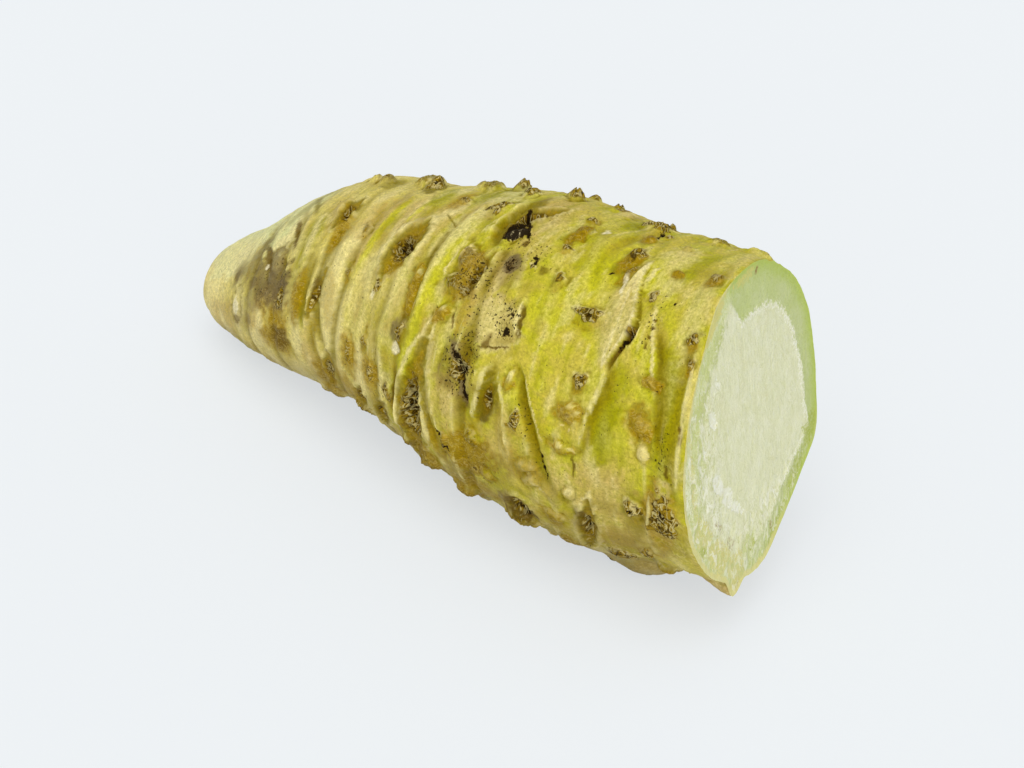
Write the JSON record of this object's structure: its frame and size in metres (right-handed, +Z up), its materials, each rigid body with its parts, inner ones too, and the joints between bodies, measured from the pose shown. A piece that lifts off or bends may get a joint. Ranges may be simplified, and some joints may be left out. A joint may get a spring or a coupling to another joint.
{
  "type": "wasabi root",
  "caption": "Whole fresh wasabi rhizome, knobbly and ridged with leaf scars, tapering to a blunt tip and cut flat across its thick end; lies on its side, to grate or to set out as food.",
  "frame": {"origin": "on the surface the root lies on, below the middle of its bounding box", "axes": "+X along the root towards its cut end, +Z up, +Y to the left when looking from the tip towards the cut"},
  "size_m": [0.1102, 0.0468, 0.0495],
  "materials": {
    "root": "satin"
  },
  "bodies": {
    "root": {"wasabi_root": "root"}
  },
  "joints": []
}
